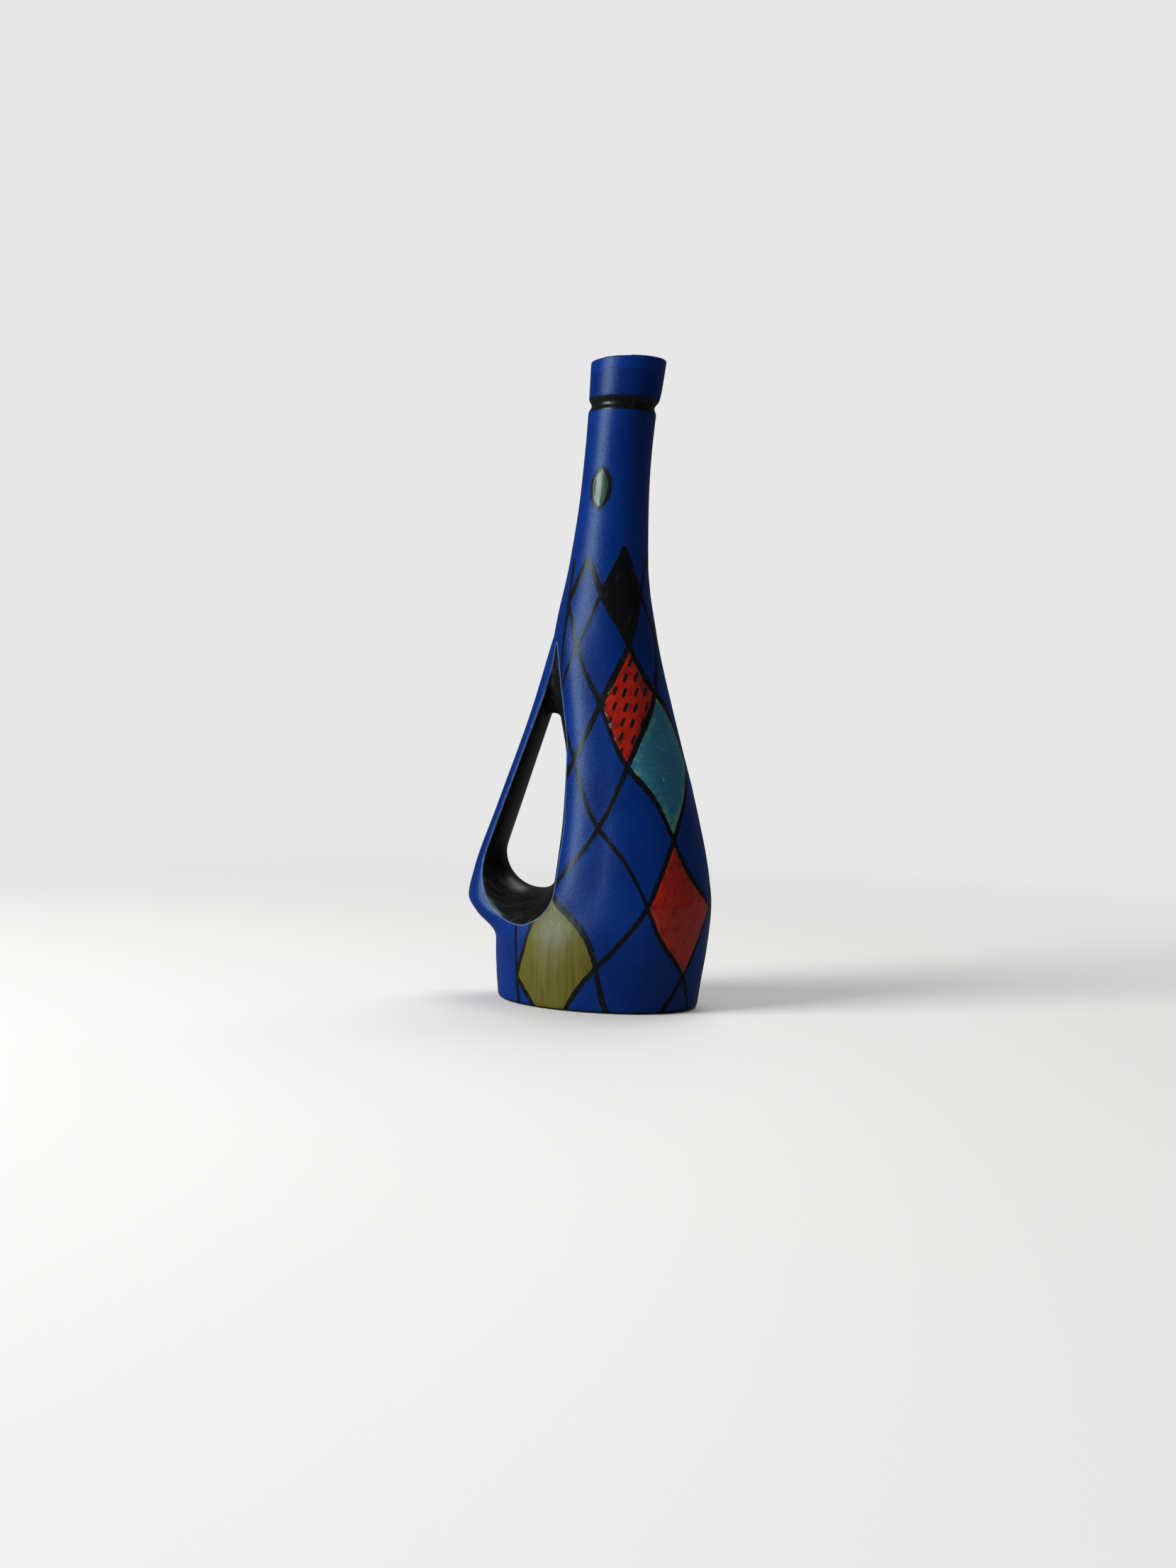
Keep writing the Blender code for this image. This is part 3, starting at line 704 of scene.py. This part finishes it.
def glaze_material():
    """Satin cobalt with painted lines, thick glossy fields and a black grip hole."""
    m = Shader("painted_glaze")
    place = m.place()
    broad = m.noise(place, 0.030, 4.0)
    middle = m.noise(place, 0.22, 3.0)
    fine = m.noise(place, 1.1, 4.0, 0.6)
    grain = m.noise(place, 3.2, 2.0, 0.7)
    lumps = m.noise(place, 0.20, 2.0, 0.45)
    level = m.attribute("level")
    wobble = m.plus(m.plus(middle, -0.5), m.times(m.plus(fine, -0.5), 0.22))

    # Ground colour, slightly clouded, and a little darker in a band of the collar
    speckle = m.times(m.rise(grain, 0.42, 0.72), 0.40)
    cloud = m.plus(m.times(m.rise(broad, 0.35, 0.70), 0.50), speckle)
    above_groove = m.rise(level, GROOVE_LEVEL, GROOVE_LEVEL + 4.0)
    band = m.times(above_groove, m.rise(level, HEIGHT - 6.2, HEIGHT - 7.2))
    cloud = m.math("MINIMUM", m.plus(cloud, m.times(band, 0.45)), 1.0)
    colour = m.mix(cloud, COBALT, COBALT_DARK)
    gloss = m.blend(m.rise(fine, 0.35, 0.65), 0.25, 0.35)
    relief = m.plus(m.times(grain, 0.050), m.times(fine, 0.090))
    coat = 0.0

    # Brushed fields, thick enough to shine
    half_line = LINE_WIDTH / 2
    line = m.plus(m.attribute("line"), wobble)
    inside = m.rise(line, half_line - 0.75, half_line - 0.15)
    strokes = m.noise(m.place((1.0, 1.0, 0.07)), 0.55, 4.0, 0.6)
    cross_strokes = m.noise(m.place((0.12, 0.12, 1.0)), 0.7, 4.0, 0.65)
    rim_of_field = m.rise(line, 6.0, 1.6)
    olive = m.mix(m.times(m.rise(strokes, 0.35, 0.75), 0.75), OLIVE, OLIVE_DARK)
    pale_rim = m.times(rim_of_field, m.rise(middle, 0.42, 0.60))
    pale = m.math("MAXIMUM", pale_rim, m.rise(cross_strokes, 0.50, 0.82))
    teal = m.mix(pale, TEAL, TEAL_LIGHT)
    green = m.mix(m.rise(strokes, 0.50, 0.68), GREEN, GREEN_LIGHT)
    red = m.mix(m.rise(m.plus(lumps, m.times(rim_of_field, 0.12)), 0.50, 0.80), RED, RED_DARK)
    for name, paint_colour, bumps in (
        ("olive", olive, m.times(middle, 0.05)),
        ("teal", teal, m.times(middle, 0.07)),
        ("leaf", green, m.times(middle, 0.05)),
        ("red", red, m.times(m.plus(lumps, -0.5), 1.10)),
    ):
        share = m.times(m.rise(m.attribute(name), *MASK_EDGE), inside)
        colour = m.mix(share, colour, paint_colour)
        coat = m.blend(share, coat, COATS[name])
        relief = m.blend(share, relief, bumps)

    # Black: lines, dashes, filled fields, groove, rim, foot, grip hole and the inside
    ink = m.rise(line, half_line + 0.10, half_line - 0.12)
    filled = m.rise(m.attribute("ink"), *MASK_EDGE)
    dash = m.rise(m.plus(m.attribute("dash"), m.times(wobble, 0.6)), 0.12, -0.12)
    groove = m.plus(m.math("ABSOLUTE", m.plus(level, -GROOVE_LEVEL)), m.times(wobble, 0.3))
    groove = m.rise(groove, GROOVE_HALF_WIDTH + 0.15, GROOVE_HALF_WIDTH - 0.15)
    rim = m.rise(m.plus(level, m.times(wobble, 0.3)), HEIGHT - 0.75, HEIGHT - 0.35)
    bottom = m.rise(m.plus(level, m.times(wobble, 0.4)), 1.5, 1.0)
    open_neck = m.rise(level, HEIGHT - 60.0, HEIGHT - 50.0)
    bore = m.times(m.rise(m.attribute("depth"), 2.0, 2.6), open_neck)
    past_arris = m.plus(m.attribute("arris"), m.times(wobble, 0.15))
    hole = m.rise(past_arris, 0.50, 0.85)
    for black in (m.times(filled, inside), dash, groove, rim, bottom, bore, hole):
        ink = m.math("MAXIMUM", ink, black)
    brushed = m.rise(m.noise(m.place((0.5, 0.5, 0.14)), 0.8, 4.0, 0.7), 0.54, 0.78)
    swept = m.noise(m.place((0.10, 1.0, 0.10)), 0.9, 4.0, 0.7)
    worn = m.blend(hole, m.times(brushed, 0.40), m.times(m.rise(swept, 0.45, 0.80), 0.50))
    colour = m.mix(ink, colour, m.mix(worn, INK, INK_WORN))
    gloss = m.blend(ink, gloss, m.blend(worn, 0.30, 0.42))
    plain_ink = m.times(ink, m.math("SUBTRACT", 1.0, coat, clamp=True))
    relief = m.blend(plain_ink, relief, m.times(strokes, 0.08))
    relief = m.blend(hole, relief, m.times(swept, 0.09))
    coat = m.math("MAXIMUM", coat, m.times(groove, GROOVE_COAT))

    # Arris of the hole paler, partly as worn glaze and partly as a painted highlight along its
    # edge; pale chips; bare clay under the foot
    arris = m.times(m.rise(past_arris, -0.25, 0.15), m.rise(past_arris, 0.75, 0.45))
    arris = m.times(arris, m.rise(middle, 0.15, 0.42))
    colour = m.mix(m.times(arris, 0.75), colour, COBALT_WORN_AND_HIGHLIGHT)
    tall = m.place((1.0, 1.0, 0.38))
    cells = m.node("ShaderNodeTexVoronoi", {"feature": "F1"}, Vector=tall, Scale=0.085)
    drawn = m.node("ShaderNodeSeparateColor", Color=cells.outputs["Color"]).outputs[0]
    rare = m.math("GREATER_THAN", drawn, 0.70)
    chips = m.times(m.rise(cells.outputs["Distance"], 0.036, 0.020), rare)
    colour = m.mix(m.times(chips, 0.8), colour, CHIP)
    under = m.rise(level, 0.45, 0.20)
    colour = m.mix(under, colour, m.mix(fine, BISCUIT, BISCUIT_DARK))
    gloss = m.blend(under, gloss, 0.85)
    coat = m.times(coat, m.math("SUBTRACT", 1.0, m.math("MAXIMUM", under, hole)))

    surface = m.principled.inputs
    m.put(surface["Base Color"], colour)
    m.put(surface["Roughness"], gloss)
    m.put(surface["Coat Weight"], coat)
    surface["Specular IOR Level"].default_value = SPECULAR_LEVEL
    surface["Specular Tint"].default_value = (*SPECULAR_TINT, 1.0)
    surface["Coat Roughness"].default_value = COAT_ROUGHNESS
    bump = m.node("ShaderNodeBump", Height=relief, Strength=1.0, Distance=MM)
    m.put(surface["Normal"], bump.outputs[0])
    m.put(surface["Coat Normal"], bump.outputs[0])
    return m.material


# ---------------------------------------------------------------- stage, light and camera
CAMERA_TURN = math.radians(18.0)
CAMERA_PITCH = math.radians(2.06)
CAMERA_ROLL = math.radians(2.0)
CAMERA_DISTANCE = 0.914
EYE_HEIGHT = 0.145
AXIS_OFFSET = 0.0087
IMAGE_WIDTH = 1659
FOCAL_PIXELS = 2505.0
SENSOR_WIDTH = 36.0
CLIP_START = 0.01
# Lamps: name, degrees round from the camera, distance and height in metres, size, power
LAMPS = (
    ("window", -61.0, 1.70, 0.75, (0.80, 1.60), 53.0),
    ("room", 155.0, 0.80, 1.80, (1.20, 1.20), 17.7),
)
# Height on the jug's axis that they point at
LAMP_AIM = 0.16
# Even surroundings: as light, in the glaze, and as the background
WORLD_LIGHT, WORLD_MIRRORED, BACKDROP = 0.195, 0.062, 0.80
GROUND = (0.80, 0.80, 0.79)
GROUND_ROUGHNESS = 0.8
# Shares of its brightness with which the ground lights the jug and shows in its glaze
GROUND_BOUNCE, GROUND_MIRRORED = 0.80, 0.12
GROUND_RADIUS, GROUND_CORNERS = 6.0, 96
# The ground fades into the background between these distances, in millimetres
FADE_FROM, FADE_TO = 250.0, 1100.0


def add_camera():
    """Camera of the photograph: beside the jug, turned to its pouring end, slightly rolled."""
    c, s = math.cos(CAMERA_TURN), math.sin(CAMERA_TURN)
    right = Vector((c, s, 0.0))
    flat, drop = math.cos(CAMERA_PITCH), -math.sin(CAMERA_PITCH)
    forward = Vector((-s * flat, c * flat, drop))
    up = right.cross(forward)
    foot_centre = Vector((-CENTRE * MM, 0.0, 0.0))
    place = foot_centre + Vector((s, -c, 0.0)) * CAMERA_DISTANCE - right * AXIS_OFFSET
    place.z = EYE_HEIGHT
    rolled_right = right * math.cos(CAMERA_ROLL) + up * math.sin(CAMERA_ROLL)
    rolled_up = up * math.cos(CAMERA_ROLL) - right * math.sin(CAMERA_ROLL)
    camera = bpy.data.objects.new("camera", bpy.data.cameras.new("camera"))
    bpy.context.scene.collection.objects.link(camera)
    turn = Matrix((rolled_right, rolled_up, -forward)).transposed()
    camera.matrix_world = Matrix.Translation(place) @ turn.to_4x4()
    camera.data.sensor_fit = "HORIZONTAL"
    camera.data.sensor_width = SENSOR_WIDTH
    camera.data.lens = SENSOR_WIDTH * FOCAL_PIXELS / IMAGE_WIDTH
    camera.data.clip_start = CLIP_START
    bpy.context.scene.camera = camera


def add_area(name, turn, distance, height, size, power):
    """Soft rectangular light, turned round the jug from the camera, positive to its right."""
    angle = CAMERA_TURN - math.pi / 2 + math.radians(turn)
    light = bpy.data.lights.new(name, "AREA")
    light.shape = "RECTANGLE"
    light.size, light.size_y = size
    light.energy = power
    lamp = bpy.data.objects.new(name, light)
    lamp.visible_camera = False
    bpy.context.scene.collection.objects.link(lamp)
    place = Vector((math.cos(angle) * distance, math.sin(angle) * distance, height))
    facing = (Vector((0, 0, LAMP_AIM)) - place).to_track_quat("-Z", "Y")
    lamp.matrix_world = Matrix.Translation(place) @ facing.to_matrix().to_4x4()


def add_world():
    """Even surroundings: the pale background to the camera, dimmer as light and in the glaze."""
    world = bpy.data.worlds.new("surroundings")
    bpy.context.scene.world = world
    world.use_nodes = True
    nodes, links = world.node_tree.nodes, world.node_tree.links
    background = nodes["Background"]
    background.inputs["Color"].default_value = (1.0, 1.0, 1.0, 1.0)
    path = nodes.new("ShaderNodeLightPath")
    level = WORLD_LIGHT
    for ray, seen in (
        ("Is Glossy Ray", WORLD_MIRRORED),
        ("Is Transmission Ray", BACKDROP),
        ("Is Camera Ray", BACKDROP),
    ):
        mix = nodes.new("ShaderNodeMix")
        mix.data_type = "FLOAT"
        links.new(path.outputs[ray], mix.inputs[0])
        if isinstance(level, float):
            mix.inputs[2].default_value = level
        else:
            links.new(level, mix.inputs[2])
        mix.inputs[3].default_value = seen
        level = mix.outputs[0]
    links.new(level, background.inputs["Strength"])


def add_floor():
    """Pale round ground that keeps the jug's shadow and fades into the background."""
    mesh = bpy.data.meshes.new("floor")
    turns = [2 * math.pi * k / GROUND_CORNERS for k in range(GROUND_CORNERS)]
    rim = [(GROUND_RADIUS * math.cos(a), GROUND_RADIUS * math.sin(a), 0.0) for a in turns]
    mesh.from_pydata(rim, [], [range(GROUND_CORNERS)])
    floor = bpy.data.objects.new("floor", mesh)
    bpy.context.scene.collection.objects.link(floor)
    m = Shader("pale_ground")
    m.principled.inputs["Roughness"].default_value = GROUND_ROUGHNESS
    away = m.node("ShaderNodeVectorMath", {"operation": "LENGTH"}, Vector=m.place())
    path = m.nodes.new("ShaderNodeLightPath").outputs
    camera_ray = path["Is Camera Ray"]
    bounced = tuple(GROUND_BOUNCE * k for k in GROUND)
    mirrored = tuple(GROUND_MIRRORED * k for k in GROUND)
    colour = m.mix(camera_ray, m.mix(path["Is Glossy Ray"], bounced, mirrored), GROUND)
    m.put(m.principled.inputs["Base Color"], colour)
    fade = m.times(m.rise(away.outputs["Value"], FADE_FROM, FADE_TO), camera_ray)
    plain = m.node("ShaderNodeEmission", Strength=BACKDROP)
    both = m.node("ShaderNodeMixShader")
    m.links.new(fade, both.inputs[0])
    m.links.new(m.principled.outputs[0], both.inputs[1])
    m.links.new(plain.outputs[0], both.inputs[2])
    m.links.new(both.outputs[0], m.nodes["Material Output"].inputs["Surface"])
    mesh.materials.append(m.material)


# ---------------------------------------------------------------- the jug
skin = outer_solid()
even_out(skin)
paint(skin)
hollow_top = HEIGHT - MOUTH_DEPTH
depths = [*np.linspace(FLOOR, hollow_top, HOLLOW_RINGS), hollow_top + HOLLOW_OVERLAP]
cut(skin, loft("deep_hollow_cutter", [hollow_ring(z, 0.0, HOLLOW_INSET) for z in depths]))
skin.data.shade_smooth()
skin.data.materials.clear()
skin.data.materials.append(glaze_material())
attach(skin, "root")
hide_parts("foot", "belly", "shoulder", "neck", "collar", "handle")

add_camera()
add_world()
for lamp in LAMPS:
    add_area(*lamp)
add_floor()
bpy.context.scene.view_settings.view_transform = "Standard"
